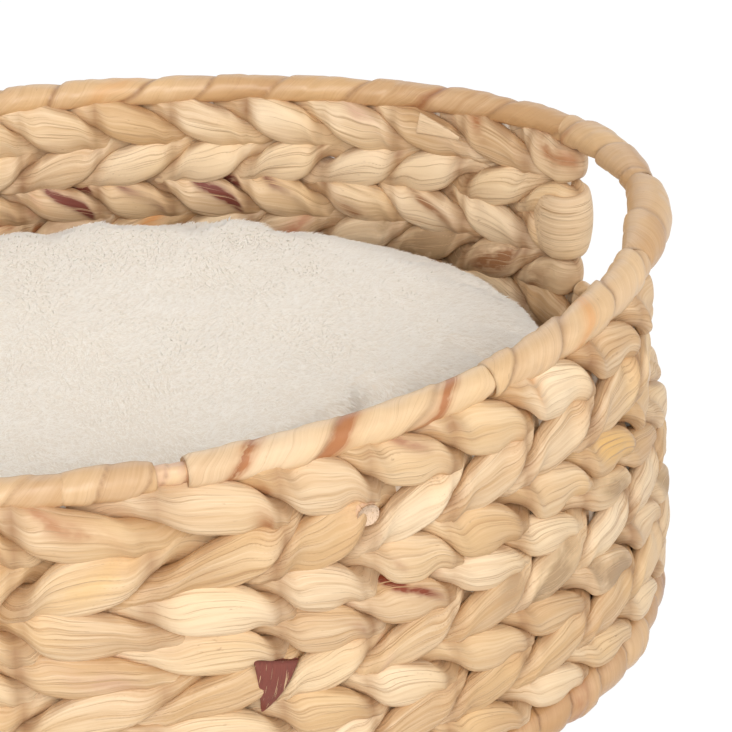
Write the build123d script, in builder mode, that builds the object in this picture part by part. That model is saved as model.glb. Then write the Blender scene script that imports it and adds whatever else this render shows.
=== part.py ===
"""Oval pet bed basket: leaf strands twined round a welded wire frame, a leaf-wrapped rim with a
handle opening at each end, and a loose plush cushion.

Millimetres. The origin is under the centre of the basket, on the surface that it stands on.
X runs along the oval, Y from the front (-Y) to the back, Z up.
"""
import os
from math import cos, floor, pi, radians, sin, sqrt

from build123d import *

# ---------------------------------------------------------------- the oval, at the rim's centre line
rim_half_length = 265
rim_half_width = 172
rim_height = 191            # centre of the rim over the long sides
handle_rise = 11            # how much higher the rim arches over each end

# ---------------------------------------------------------------- wire frame
hoop_wire = 5               # top and bottom hoops
stake_wire = 4              # upright stakes
base_wire = 4               # cross wires of the floor
base_wire_count = 5
base_wire_spacing = 88
weld_gap = 0.3              # a wire stops this far short of what it is welded to
base_wire_gap = 0.7

# ---------------------------------------------------------------- layout of the stakes round the oval
opening_width = 134         # along the rim, between the stakes at the two sides of a handle opening
opening_shift = 14          # both openings lie this far to the front of the oval's ends
opening_pitches = 4         # stake pitches in an opening; the stakes between its sides stop at the sill
back_pitches = 16
front_pitches = 13
wide_pitch = 65             # one pair of front stakes stands this far apart, at the hoop's joint
wide_after = 6              # pitches from the left opening to the wide one

# ---------------------------------------------------------------- twined leaf strands
upper_twists = {            # rows beside the openings, woven back and forth, from the top
    "back": [-1, 1, -1, 1],         # a twist of +1 leans to the right, -1 to the left
    "front": [-1, 1, -1],
}
lower_twists = [-1, 1, -1, 1, -1]   # rows that go all the way round
join_height = 112.5         # where the lower and the upper rows meet, at the oval's ends
join_tilt = 3.5             # the meeting line is this much higher in front and lower at the back
strand_thickness = 8
strand_gap = 0.3            # between strands, and between a strand and the wire that it passes
belly = 1.6                 # a strand's height where it is free, over its height where it is crossed
lap_gap = 0.01              # of a stake pitch, between the two ends of a hoop or of a round of weave

# ---------------------------------------------------------------- leaf wraps
bottom_wrap = 20            # thickness of the wrapped bottom hoop
sill_wrap = 8               # thickness of the wrapped lower edge of an opening
rim_clearance = 15          # the rim's thickness that the weave leaves room for
wrap_gap = 0.3
rim_wraps = {               # from stake, to stake, thickness at its ends, thickness in the middle
    "rim_wrap_handle_right_front": (0, 2, 14, 19),
    "rim_wrap_handle_right_back": (2, 4, 13, 14),
    "rim_wrap_back_right": (4, 12, 11, 11.5),
    "rim_wrap_back_left": (12, 20, 11, 11.5),
    "rim_wrap_handle_left": (20, 24, 13, 17),
    "rim_wrap_front_left": (24, 30, 13, 14),
    "rim_wrap_front_wrinkled": (30, 30.54, 13, 15),
    "rim_wrap_front_thin": (30.54, 30.76, 8.5, 8.5),
    "rim_wrap_front_glossy": (30.76, 34.1, 14, 15),
    "rim_wrap_front_right": (34.1, 37, 14, 15),
}
bottom_wraps = {
    "bottom_wrap_right": (-3, 7),
    "bottom_wrap_back": (7, 17),
    "bottom_wrap_left": (17, 26),
    "bottom_wrap_front": (26, 34),
}

# ---------------------------------------------------------------- woven floor
strap_width = 19.6
strap_pitch = 20
strap_thickness = 5
strap_end_gap = 2
shortest_strap = 120

# ---------------------------------------------------------------- cushion
cushion_height = 131
cushion_side_gap = 8        # to the wall all round
cushion_floor_gap = 0.4
cover_thickness = 3
filling_gap = 0.3
seam_share = 0.42           # height of the seam, as a share of the cushion's height
cushion_corners = 24
cushion_levels = {          # share of the height: shares of the half length and the half width
    0.0: (0.90, 0.90),
    0.20: (0.985, 0.985),
    seam_share: (1.0, 1.0),
    0.66: (0.98, 0.985),
    0.82: (0.92, 0.96),
    0.92: (0.82, 0.92),
    1.0: (0.55, 0.66),
}

# ---------------------------------------------------------------- worked out from the sizes above
up = Vector(0, 0, 1)
hexagon_corner = 1 / cos(radians(30))       # corner radius of a hexagon over its flat radius
stake_reach = stake_wire / 2 + strand_gap + strand_thickness / 2    # stake's axis to strand's middle
wall_half = stake_reach + strand_thickness / 2
ring_corner = bottom_wrap / 2 * hexagon_corner
weave_bottom = bottom_wrap
weave_top = rim_height - rim_clearance / 2 - strand_gap

oval = Edge.make_ellipse(rim_half_length, rim_half_width)
perimeter = oval.length
first_stake = -opening_shift - opening_width / 2
left_opening = perimeter / 2 + opening_shift - opening_width / 2
back_first = opening_pitches
back_last = back_first + back_pitches
front_first = back_last + opening_pitches
stake_count = front_first + front_pitches
wide_first = front_first + wide_after
front_start = left_opening + opening_width
front_end = first_stake + perimeter
front_pitch = (front_end - front_start - wide_pitch) / (front_pitches - 1)
wide_start = front_start + wide_after * front_pitch
stake_spans = [
    (0, back_first, first_stake, first_stake + opening_width),
    (back_first, back_last, first_stake + opening_width, left_opening),
    (back_last, front_first, left_opening, front_start),
    (front_first, wide_first, front_start, wide_start),
    (wide_first, wide_first + 1, wide_start, wide_start + wide_pitch),
    (wide_first + 1, stake_count, wide_start + wide_pitch, front_end),
]
opening_pitch = opening_width / opening_pitches


def along_rim(k):
    """Distance along the rim to stake k, which may be a fraction; the count runs on past one turn."""
    turns = floor(k / stake_count)
    k -= turns * stake_count
    for low, high, start, end in stake_spans:
        if k <= high:
            return turns * perimeter + start + (end - start) * (k - low) / (high - low)


def on_oval(k):
    """Point on the ground under the rim at stake k, with the outward and the forward directions."""
    distance = along_rim(k) % perimeter
    point = oval.position_at(distance, position_mode=PositionMode.LENGTH)
    forward = oval.tangent_at(distance, position_mode=PositionMode.LENGTH)
    return point, forward.cross(up), forward


def rise(point):
    """The rim's extra height over a point on the ground: it arches up toward both ends."""
    return handle_rise * abs(point.X / rim_half_length) ** 3


def level(point, height):
    """A height in the weave, which spreads to follow the arch of the rim."""
    share = (height - weave_bottom) / (rim_height - weave_bottom)
    return height + rise(point) * max(share, 0)


def join(point):
    """Where the lower and the upper rows meet, over a point on the ground, before the rim's arch."""
    return join_height - join_tilt * point.Y / rim_half_width


def row_place(point, row, rows, upper):
    """Height of a row's middle and the pitch of its rows; rows are counted from the top."""
    high, low = (weave_top, join(point)) if upper else (join(point), weave_bottom)
    pitch = (high - low) / rows
    return high - (row - 0.5) * pitch, pitch


def upright(origin, across):
    """Plane that stands on edge, with X along across and Y up."""
    return Plane(origin=origin, x_dir=across, z_dir=across.cross(up))


def swing(k):
    """1 at even stakes and -1 at odd ones, on straight lines between them."""
    k %= 2
    return 1 - 2 * k if k < 1 else 2 * k - 3


def finish(piece, label):
    """Name a finished piece and write it out."""
    piece.part.label = label
    export_step(piece.part, f"parts/{label}.step")


def half_steps(first, last):
    """Stake numbers from first to last, in halves."""
    count = round(2 * abs(last - first))
    return [first + (last - first) * i / count for i in range(count + 1)]


def run(row, twists, upper, side, ks, heading=1):
    """Sections of a strand past the stakes ks: outside one, over or under its twin, inside the next."""
    sections = []
    for k in ks:
        point, outward, _ = on_oval(k)
        height, pitch = row_place(point, row, len(twists), upper)
        out = side * stake_reach * swing(k)
        rising = side * twists[row - 1] * pitch / 4 * swing(k - 0.5)
        half = (pitch / 4 - strand_gap / 2) * (1 + (belly - 1) * abs(swing(k)))
        middle = point + outward * out + up * (level(point, height) + rising)
        sections.append((upright(middle, outward * heading), half))
    return sections


def turn_back(row, twists, side, k, heading, angles):
    """Sections of a strand folded round stake k at the side of an opening."""
    point, outward, forward = on_oval(k)
    height, pitch = row_place(point, row, len(twists), upper=True)
    free_half = (pitch / 4 - strand_gap / 2) * belly
    here = side * swing(k)
    sections = []
    for angle in angles:
        c, s = cos(radians(angle)), sin(radians(angle))
        around = outward * (here * c) + forward * (heading * s)
        middle = point + around * stake_reach + up * level(point, height)
        across = outward * (heading * c) + forward * (here * s)
        sections.append((upright(middle, across), free_half))
    return sections


def strand(label, sections):
    """A leaf strand: a lozenge section carried along its course."""
    with BuildPart() as piece:
        for plane, half in sections:
            with BuildSketch(plane):
                Polygon((strand_thickness / 2, 0), (0, half), (-strand_thickness / 2, 0), (0, -half),
                        align=None)
        loft(ruled=True)
    finish(piece, label)


def hoop_planes(ks, height, follow_rim):
    """Upright planes across a hoop at the stake numbers ks."""
    planes = []
    for k in ks:
        past = k - floor(k)                 # a hoop runs straight from stake to stake
        ends = [on_oval(floor(k)), on_oval(floor(k) + 1)] if past else [on_oval(k)]
        shares = [1 - past, past]
        middles = [point + up * (height + (rise(point) if follow_rim else 0)) for point, _, _ in ends]
        middle = sum((m * share for m, share in zip(middles, shares)), Vector())
        outward = sum((out * share for (_, out, _), share in zip(ends, shares)), Vector())
        planes.append(upright(middle, outward.normalized()))
    return planes


def whole_steps(first, last):
    """Both ends, and the whole stake numbers between them."""
    return [first] + [k for k in range(floor(first) + 1, stake_count + 1) if k < last - lap_gap] + [last]


def hoop(label, height, follow_rim):
    """A wire hoop, butt welded at its ends."""
    ks = list(range(back_first, back_first + stake_count)) + [back_first + stake_count - lap_gap]
    with BuildPart() as piece:
        for plane in hoop_planes(ks, height, follow_rim):
            with BuildSketch(plane):
                RegularPolygon(hoop_wire / 2 * hexagon_corner, 6)
        loft(ruled=True)
    finish(piece, label)


def wrap(label, first, last, height, end_size, middle_size, follow_rim):
    """Leaf wound round a hoop from one stake to another, fuller in the middle than at its ends."""
    last -= wrap_gap / opening_pitch
    ks = whole_steps(first, last)
    sizes = [end_size + (middle_size - end_size) * sin(pi * (k - first) / (last - first)) for k in ks]
    planes = hoop_planes(ks, height, follow_rim)
    with BuildPart() as piece:
        for plane, size in zip(planes, sizes):
            with BuildSketch(plane):
                RegularPolygon(size / 2 * hexagon_corner, 6)
        loft(ruled=True)
        for plane in planes:
            with BuildSketch(plane):
                RegularPolygon((hoop_wire / 2 + wrap_gap / 2) * hexagon_corner, 6)
        loft(ruled=True, mode=Mode.SUBTRACT)
    finish(piece, label)


def stakes(label, ks, top):
    """Upright wires from the bottom hoop to a height that depends on the place."""
    foot = bottom_wrap / 2 + hoop_wire / 2
    with BuildPart() as piece:
        for k in ks:
            point, outward, forward = on_oval(k)
            with BuildSketch(Plane(origin=point + up * foot, x_dir=outward, z_dir=up)):
                RegularPolygon(stake_wire / 2, 6)
            extrude(amount=top(point) - foot)
    finish(piece, label)


os.makedirs("parts", exist_ok=True)

# ================================================================ wire frame
hoop("top_hoop", rim_height, follow_rim=True)
hoop("bottom_hoop", bottom_wrap / 2, follow_rim=False)

sill_stake_numbers = [k for start in (0, back_last) for k in range(start + 1, start + opening_pitches)]
side_stake_numbers = [k for k in range(stake_count) if k not in sill_stake_numbers]
stakes("side_stakes", side_stake_numbers,
       lambda point: rim_height + rise(point) - hoop_wire / 2 - weld_gap)
stakes("sill_stakes", sill_stake_numbers, lambda point: level(point, join(point)))

with BuildPart() as base_wires:
    for i in range(base_wire_count):
        x = (i - (base_wire_count - 1) / 2) * base_wire_spacing
        edge = rim_half_width * sqrt(1 - (x / rim_half_length) ** 2)
        slope = (x / rim_half_length ** 2) / (edge / rim_half_width ** 2)
        across_hoop = (hoop_wire / 2 * hexagon_corner + base_wire_gap) * sqrt(1 + slope ** 2)
        reach = edge - across_hoop - abs(slope) * base_wire / 2 * hexagon_corner
        with BuildSketch(Plane.XZ.offset(-reach)):
            with Locations((x, bottom_wrap / 2)):
                RegularPolygon(base_wire / 2 * hexagon_corner, 6)
        extrude(amount=2 * reach)
finish(base_wires, "base_wires")

# ================================================================ twined weave
# The upper rows: one strand goes out, folds round the stake at the side of an opening, and comes
# back as its own twin, folding once more at the far end, where its tail is tucked in.
for wall, first, last in (("back", back_first, back_last), ("front", front_first, stake_count)):
    twists = upper_twists[wall]
    for row in range(1, len(twists) + 1):
        ks = half_steps(first, last)
        course = run(row, twists, True, 1, ks)
        course += turn_back(row, twists, 1, last, 1, (45, 90, 135))
        course += run(row, twists, True, -1, ks[::-1], heading=-1)
        course += turn_back(row, twists, -1, first, -1, (45, 90, 135, 170))
        strand(f"{wall}_weave_row_{row}", course)

# The lower rows: two strands go all the way round, and the laps are staggered along the back.
for row in range(1, len(lower_twists) + 1):
    start = back_first + 2 * row
    ks = half_steps(start, start + stake_count)
    ks[-1] -= lap_gap
    for side, name in ((1, "a"), (-1, "b")):
        strand(f"lower_weave_row_{row}_strand_{name}", run(row, lower_twists, False, side, ks))

# ================================================================ wraps
for label, (first, last, end_size, middle_size) in rim_wraps.items():
    wrap(label, first, last, rim_height, end_size, middle_size, follow_rim=True)
for label, (first, last) in bottom_wraps.items():
    wrap(label, first, last, bottom_wrap / 2, bottom_wrap, bottom_wrap, follow_rim=False)

# Each opening's lower edge: a wrapped bar between the folded strands at its two sides
inset = (wall_half + strand_gap) / opening_pitch
for label, start in (("sill_wrap_right", 0), ("sill_wrap_left", back_last)):
    first, last = start + inset, start + opening_pitches - inset
    with BuildPart() as sill:
        for k in [first] + list(range(start + 1, start + opening_pitches)) + [last]:
            point, outward, _ = on_oval(k)
            height = level(point, join(point)) + strand_gap + sill_wrap / 2
            with BuildSketch(upright(point + up * height, outward)):
                RegularPolygon(sill_wrap / 2 * hexagon_corner, 6)
        loft(ruled=True)
    finish(sill, label)

# ================================================================ woven floor
# Flat straps along the basket, each passing over one cross wire and under the next.
floor_half_length = rim_half_length - ring_corner - strap_end_gap
floor_half_width = rim_half_width - ring_corner - strap_end_gap
strap_sway = base_wire / 2 + strand_gap + strap_thickness / 2
wire_xs = [(i - (base_wire_count - 1) / 2) * base_wire_spacing for i in range(base_wire_count)]
with BuildPart() as base_straps:
    side_count = floor((floor_half_width - strap_pitch / 2) / strap_pitch) + 1
    for j in range(-side_count, side_count):
        y = (j + 0.5) * strap_pitch
        edge = (abs(y) + strap_width / 2) / floor_half_width
        if edge >= 1 or floor_half_length * sqrt(1 - edge ** 2) < shortest_strap / 2:
            continue
        reach = floor_half_length * sqrt(1 - edge ** 2)
        course = [(x, strap_sway * (-1) ** (i + j)) for i, x in enumerate(wire_xs)
                  if abs(x) < reach + base_wire]
        ends = [(-reach, course[0][1]), (reach, course[-1][1])]
        course = ends[:1] + [(x, z) for x, z in course if abs(x) < reach - base_wire] + ends[1:]
        top = [(x, bottom_wrap / 2 + z + strap_thickness / 2) for x, z in course]
        under = [(x, z - strap_thickness) for x, z in reversed(top)]
        with BuildSketch(Plane.XZ.offset(-y)):
            Polygon(*top, *under, align=None)
        extrude(amount=strap_width / 2, both=True)
finish(base_straps, "base_straps")

# ================================================================ cushion
cushion_bottom = bottom_wrap / 2 + strap_sway + strap_thickness / 2 + cushion_floor_gap
cushion_half_length = rim_half_length - wall_half - cushion_side_gap
cushion_half_width = rim_half_width - wall_half - cushion_side_gap


def cushion_outlines(inset, low, high):
    """Height and corners of the pillow's outline, drawn in by inset, between two shares of its height."""
    outlines = []
    for share, (long_share, wide_share) in cushion_levels.items():
        if low <= share <= high:
            height = cushion_bottom + inset + share * (cushion_height - 2 * inset)
            half_length = cushion_half_length * long_share - inset
            half_width = cushion_half_width * wide_share - inset
            turns = [2 * pi * i / cushion_corners for i in range(cushion_corners)]
            outlines.append((height, [(half_length * cos(t), half_width * sin(t)) for t in turns]))
    return outlines


def cushion_cover(label, low, high):
    """One panel of the cover: the pillow's skin between two shares of its height."""
    outer = cushion_outlines(0, low, high)
    inner = cushion_outlines(cover_thickness, low, high)
    inner[-1 if low == 0 else 0] = (outer[-1 if low == 0 else 0][0], inner[-1 if low == 0 else 0][1])
    with BuildPart() as panel:
        for height, corners in outer:
            with BuildSketch(Plane.XY.offset(height)):
                Polygon(*corners, align=None)
        loft(ruled=True)
        for height, corners in inner:
            with BuildSketch(Plane.XY.offset(height)):
                Polygon(*corners, align=None)
        loft(ruled=True, mode=Mode.SUBTRACT)
    finish(panel, label)


cushion_cover("cushion_cover_underside", 0, seam_share)
cushion_cover("cushion_cover_top", seam_share, 1)
with BuildPart() as cushion_filling:
    for height, corners in cushion_outlines(cover_thickness + filling_gap, 0, 1):
        with BuildSketch(Plane.XY.offset(height)):
            Polygon(*corners, align=None)
    loft(ruled=True)
finish(cushion_filling, "cushion_filling")
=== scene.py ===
# %% [markdown]
# # A twined basket bed for a pet
# The basket is an oval wire frame with two leaf strands twined round its stakes, row over row.
# Its rim and its bottom hoop are wound with leaf, and a loose plush cushion lies inside.
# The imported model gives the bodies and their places. Here each piece gets its real surface:
# a surface is worked out as a whole array of points with numpy, and then handed to a mesh.

# %% Load the frame
from math import radians

import bpy
import numpy as np
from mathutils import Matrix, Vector


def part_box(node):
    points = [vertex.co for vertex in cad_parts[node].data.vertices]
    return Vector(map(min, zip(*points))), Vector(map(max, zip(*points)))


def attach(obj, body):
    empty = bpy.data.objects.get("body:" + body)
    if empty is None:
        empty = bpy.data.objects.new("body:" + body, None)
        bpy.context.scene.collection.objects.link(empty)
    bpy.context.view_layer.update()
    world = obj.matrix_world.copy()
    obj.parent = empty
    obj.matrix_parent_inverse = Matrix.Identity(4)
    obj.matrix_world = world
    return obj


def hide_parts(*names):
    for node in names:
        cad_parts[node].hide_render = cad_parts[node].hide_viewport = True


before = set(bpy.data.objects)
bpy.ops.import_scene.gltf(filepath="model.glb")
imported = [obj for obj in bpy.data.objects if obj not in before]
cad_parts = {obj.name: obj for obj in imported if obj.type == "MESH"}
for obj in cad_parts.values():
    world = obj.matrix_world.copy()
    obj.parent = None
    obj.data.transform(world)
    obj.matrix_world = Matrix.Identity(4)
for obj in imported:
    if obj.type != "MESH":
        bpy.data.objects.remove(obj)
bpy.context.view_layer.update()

# %% [markdown]
# ## The oval and its stakes
# Everything follows one oval, so a place on the basket is told by a stake number, which may be
# a fraction. An ellipse has no simple formula for a length along it, so many short chords are
# added up once, and numpy's interp looks a whole array of lengths up in that list.

# %% Sizes of the frame, in metres
half_length, half_width = 0.265, 0.172      # of the oval, at the middle of the rim
rim_height, handle_rise = 0.191, 0.011
weave_bottom, weave_top = 0.020, 0.1832
join_height, join_tilt = 0.1125, 0.0035     # where the upper rows stand on the lower ones
stake_count = 37
opening_width, opening_shift = 0.134, 0.014
wide_pitch = 0.065                          # between the two front stakes beside the hoop's joint
belly_out, belly_high = 0.0042, 0.070       # how far use has pressed the lower wall outward

turn = np.linspace(0, 2 * np.pi, 20001)
chords = np.hypot(np.diff(half_length * np.cos(turn)), np.diff(half_width * np.sin(turn)))
length_at_turn = np.concatenate([[0], np.cumsum(chords)])
perimeter = length_at_turn[-1]
first_stake = -opening_shift - opening_width / 2
left_opening = perimeter / 2 + opening_shift - opening_width / 2
front_start, front_end = left_opening + opening_width, first_stake + perimeter
front_pitch = (front_end - front_start - wide_pitch) / 12     # six even ones on each side of it
stake_marks = (0, 4, 20, 24, 30, 31, stake_count)
length_marks = (first_stake, first_stake + opening_width, left_opening, front_start,
                front_start + 6 * front_pitch, front_end - 6 * front_pitch, front_end)
print("perimeter of the oval", round(perimeter, 4), "m")


# %% Places on the oval
def along_rim(k):
    """Length along the rim to stake k: the number is looked up between the corners of the openings."""
    turns = np.floor(k / stake_count)
    return turns * perimeter + np.interp(k - turns * stake_count, stake_marks, length_marks)


def on_oval(k):
    """Points under the rim at stakes k, with the outward and the forward directions, as n x 3 arrays.
    The outward direction is the ellipse's normal, and the forward one is it turned a quarter."""
    t = np.interp(along_rim(k) % perimeter, length_at_turn, turn)
    flat = np.zeros_like(t)
    point = np.stack([half_length * np.cos(t), half_width * np.sin(t), flat], -1)
    outward = np.stack([half_width * np.cos(t), half_length * np.sin(t), flat], -1)
    outward /= np.linalg.norm(outward, axis=-1, keepdims=True)
    forward = np.stack([-outward[..., 1], outward[..., 0], flat], -1)
    return point, outward, forward


def rise(point):
    """The rim arches toward the ends with the cube of the distance from the middle."""
    return handle_rise * np.abs(point[..., 0] / half_length) ** 3


def level(point, height):
    """A height in the weave, lifted by the part of the arch that it has reached."""
    share = (height - weave_bottom) / (rim_height - weave_bottom)
    return height + rise(point) * np.maximum(share, 0)


def belly(height):
    """How far the wall stands outward at a height: nothing at the join, most near the bottom hoop."""
    return belly_out * smooth(join_height - height, 0, belly_high)


def join(point):
    """Height where the upper rows stand on the lower ones: higher in front, lower at the back."""
    return join_height - join_tilt * point[..., 1] / half_width


# %% [markdown]
# ## Chance that repeats
# No two leaves are alike, so sizes and tones need chance that changes smoothly and gives the
# same result each time. Random numbers stand at whole numbers of a list, and waves join them.
# A seed fixes the list, and a period makes it fit round a closed strand.

# %% Smooth chance along a line and over a sheet
endless = 997       # a period longer than any course


def wander(x, period, seed, hold=0.0):
    """Random values between -1 and 1 at whole numbers, joined by smooth steps. With hold, the value
    stays for that share of the way on both sides of a whole number."""
    period = max(int(round(period)), 1)
    values = np.random.default_rng(seed).uniform(-1, 1, period)
    cell = np.floor(x).astype(int)
    share = np.clip((x - cell - hold) / (1 - 2 * hold), 0, 1)
    share = share * share * (3 - 2 * share)
    return values[cell % period] * (1 - share) + values[(cell + 1) % period] * share


def ripple(x, y, period_x, period_y, seed):
    """Random sheet between -1 and 1: four corners of each unit square, blended by smooth steps."""
    period_x, period_y = max(int(round(period_x)), 1), max(int(round(period_y)), 1)
    table = np.random.default_rng(seed).uniform(-1, 1, (period_x, period_y))
    i, j = np.floor(x).astype(int), np.floor(y).astype(int)
    a, b = x - i, y - j
    a, b = a * a * (3 - 2 * a), b * b * (3 - 2 * b)
    low = table[i % period_x, j % period_y] * (1 - a) + table[(i + 1) % period_x, j % period_y] * a
    high = (table[i % period_x, (j + 1) % period_y] * (1 - a)
            + table[(i + 1) % period_x, (j + 1) % period_y] * a)
    return low * (1 - b) + high * b


def smooth(x, low, high):
    """0 below low, 1 above high, and a smooth step between them."""
    x = np.clip((x - low) / (high - low), 0, 1)
    return x * x * (3 - 2 * x)


def circle(count, start=0.0):
    """Angles round a section, with their cosines and sines."""
    theta = 2 * np.pi * np.arange(count) / count + start
    return theta, np.cos(theta), np.sin(theta)


def swell(x, power):
    """The size of x to a power, with the sign of x: a power below 1 fills an oval out to a box."""
    return np.sign(x) * np.abs(x) ** power


# %% [markdown]
# ## From a grid of points to a mesh
# A tube is a grid: one direction runs along it and the other round it. The faces join each
# point to its neighbours, and wrap over where the grid is closed. Open ends get a fan of
# triangles. The volume enclosed tells whether the faces point outwards, and a negative one
# means that each face is turned over.

# %% Meshes and objects
def linked(name, data):
    """New object in the scene for a mesh, a lamp or a camera."""
    thing = bpy.data.objects.new(name, data)
    bpy.context.scene.collection.objects.link(thing)
    return thing


def new_mesh(name, points, corners, sizes):
    """Mesh from points, the corner numbers of all faces in one row, and each face's corner count."""
    mesh = bpy.data.meshes.new(name)
    mesh.vertices.add(len(points))
    mesh.vertices.foreach_set("co", points.astype(np.float32).ravel())
    mesh.loops.add(len(corners))
    mesh.loops.foreach_set("vertex_index", corners.astype(np.int32))
    mesh.polygons.add(len(sizes))
    starts = np.concatenate([[0], np.cumsum(sizes)[:-1]])
    mesh.polygons.foreach_set("loop_start", starts.astype(np.int32))
    mesh.update(calc_edges=True)
    mesh.shade_smooth()
    return mesh


def store(mesh, key, values):
    """Keeps a number, a direction or a colour for each point in the mesh, under a name."""
    kind, field = {1: ("FLOAT", "value"), 3: ("FLOAT_VECTOR", "vector"),
                   4: ("FLOAT_COLOR", "color")}[values.shape[1]]
    layer = mesh.attributes.new(key, kind, "POINT")
    layer.data.foreach_set(field, values.astype(np.float32).ravel())


# %% Mesh from grids
def grid_faces(rows, columns, closed):
    """Corner numbers of the faces of a grid that is closed round its columns."""
    i = np.arange(rows if closed else rows - 1)[:, None]
    j = np.arange(columns)[None, :]
    here, there = i * columns, (i + 1) % rows * columns
    return np.stack([here + j, there + j, there + (j + 1) % columns, here + (j + 1) % columns],
                    -1).reshape(-1, 4)


def build(name, grids, attributes, material, body, nodes=(), closed=False):
    """One mesh object from grids of points (rows x columns x 3), with named values for each point."""
    points, quads, fans, start = [], [], [], 0
    for grid in grids:
        rows, columns = grid.shape[:2]
        quads.append(grid_faces(rows, columns, closed) + start)
        points.append(grid.reshape(-1, 3))
        start += rows * columns
        if not closed:
            ring = np.arange(columns)
            for row, turned in ((0, True), (rows - 1, False)):
                fan = np.stack([ring, (ring + 1) % columns], -1) + start - (rows - row) * columns
                centre = np.full((columns, 1), start + len(fans) % 2)
                fans.append(np.concatenate([fan[:, ::-1] if turned else fan, centre], 1))
            points += [grid[0].mean(0)[None], grid[-1].mean(0)[None]]
            start += 2
    points, quads = np.concatenate(points), np.concatenate(quads)
    a, b, c, d = (points[quads[:, n]] for n in range(4))
    if np.einsum("ij,ij->", np.cross(c - a, d - b), (a + b + c + d) / 4) < 0:
        quads, fans = quads[:, ::-1], [fan[:, ::-1] for fan in fans]
    corners = np.concatenate([quads.ravel()] + [fan.ravel() for fan in fans])
    sizes = np.concatenate([np.full(len(quads), 4)] + [np.full(len(fan), 3) for fan in fans])
    mesh = new_mesh(name, points, corners, sizes)
    for key, values in attributes.items():
        flat = []
        for value in values:
            value = value.reshape(*value.shape[:2], -1)
            flat.append(value.reshape(-1, value.shape[2]))
            if not closed:
                flat += [value[0].mean(0)[None], value[-1].mean(0)[None]]
        store(mesh, key, np.concatenate(flat))
    piece = linked(name, mesh)
    mesh.materials.append(material)
    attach(piece, body)
    if nodes:
        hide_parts(*nodes)
    return piece


# %% [markdown]
# ## Materials: dried leaf
# Dried water hyacinth is a straw-coloured ribbon. Fine fibres and thin darker creases run along
# it, and its edges and ends go brown. The same brown also paints shade into the crevices where
# strands cross, rows meet and wraps lap. A pattern that follows the leaf needs the leaf's own
# coordinates: each piece stores them as the attribute grain, in metres along and across the
# leaf. Noise that is stretched along the first of them makes fibres. The pattern is a node
# group, because twined strands, wraps and floor straps share it.

# %% Helpers for node trees
def number(tree, operation, a, b=0.0, c=0.0, clamp=False):
    """One math node. An input may be a number or another node's output."""
    node = tree.nodes.new("ShaderNodeMath")
    node.operation, node.use_clamp = operation, clamp
    for socket, value in zip(node.inputs, (a, b, c)):
        if isinstance(value, (int, float)):
            socket.default_value = value
        else:
            tree.links.new(value, socket)
    return node.outputs[0]


def times(tree, a, b):
    """Product of two inputs."""
    return number(tree, "MULTIPLY", a, b)


def ramp(tree, value, gain, start, clamp=True):
    """An input times gain plus start, kept between 0 and 1 where clamp says so."""
    return number(tree, "MULTIPLY_ADD", value, gain, start, clamp)


def blend_colours(tree, share, a, b, way="MIX"):
    """Mix of two colours. Each input may be a value or another node's output."""
    node = tree.nodes.new("ShaderNodeMix")
    node.data_type, node.blend_type = "RGBA", way
    for index, value in ((0, share), (6, a), (7, b)):
        if isinstance(value, bpy.types.NodeSocket):
            tree.links.new(value, node.inputs[index])
        else:
            node.inputs[index].default_value = value if index == 0 else (*value, 1)
    return node.outputs[2]


def noise(tree, vector, stretch, detail=2.0, roughness=0.5):
    """Noise on a vector that is first multiplied by stretch."""
    place = tree.nodes.new("ShaderNodeMapping")
    place.inputs["Scale"].default_value = stretch
    tree.links.new(vector, place.inputs["Vector"])
    node = tree.nodes.new("ShaderNodeTexNoise")
    for key, value in (("Scale", 1), ("Detail", detail), ("Roughness", roughness)):
        node.inputs[key].default_value = value
    tree.links.new(place.outputs[0], node.inputs["Vector"])
    return node.outputs[0]


def new_material(name, plain):
    """Material with its node tree and its shader, and the shader's inputs that are plain values."""
    material = bpy.data.materials.new(name)
    material.use_nodes = True
    shader = material.node_tree.nodes["Principled BSDF"]
    for key, value in plain.items():
        shader.inputs[key].default_value = value
    return material, material.node_tree, shader


def add_bump(tree, shader, height, strength, distance):
    """Relief from a height between 0 and 1, which stands for a distance in metres."""
    bump = tree.nodes.new("ShaderNodeBump")
    bump.inputs["Strength"].default_value = strength
    bump.inputs["Distance"].default_value = distance
    tree.links.new(height, bump.inputs["Height"])
    tree.links.new(bump.outputs[0], shader.inputs["Normal"])


def new_group(name, inputs, outputs):
    """Empty node group with its sockets."""
    group = bpy.data.node_groups.new(name, "ShaderNodeTree")
    for direction, sockets in (("INPUT", inputs), ("OUTPUT", outputs)):
        for label, kind in sockets:
            group.interface.new_socket(name=label, in_out=direction, socket_type="NodeSocket" + kind)
    return group, group.nodes.new("NodeGroupInput").outputs, group.nodes.new("NodeGroupOutput").inputs


# %% The leaf pattern
leaf, given, result = new_group(
    "leaf_fibres", [("Grain", "Vector"), ("Tone", "Float"), ("Tip", "Float"), ("Contrast", "Float")],
    [("Colour", "Color"), ("Height", "Float"), ("Blotch", "Float")])
grain = given["Grain"]
fibre = noise(leaf, grain, (22, 1000, 1000), 3.0, 0.6)
band = noise(leaf, grain, (8, 240, 240))
blotch = noise(leaf, grain, (60, 130, 130), 3.0, 0.6)
hue = noise(leaf, grain, (14, 22, 22), 1.0)
# Creases and specks are the crests of a stretched noise: a steep ramp keeps only its peaks.
crease = number(leaf, "MAXIMUM", ramp(leaf, noise(leaf, grain, (9, 900, 900)), 13.0, -8.2),
                ramp(leaf, noise(leaf, grain, (16, 1900, 1900)), 10.0, -5.9))
crease = times(leaf, crease, given["Contrast"])
speck = times(leaf, ramp(leaf, noise(leaf, grain, (230, 900, 900)), 11.0, -7.2),
              ramp(leaf, blotch, 4.0, -1.9))

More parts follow.
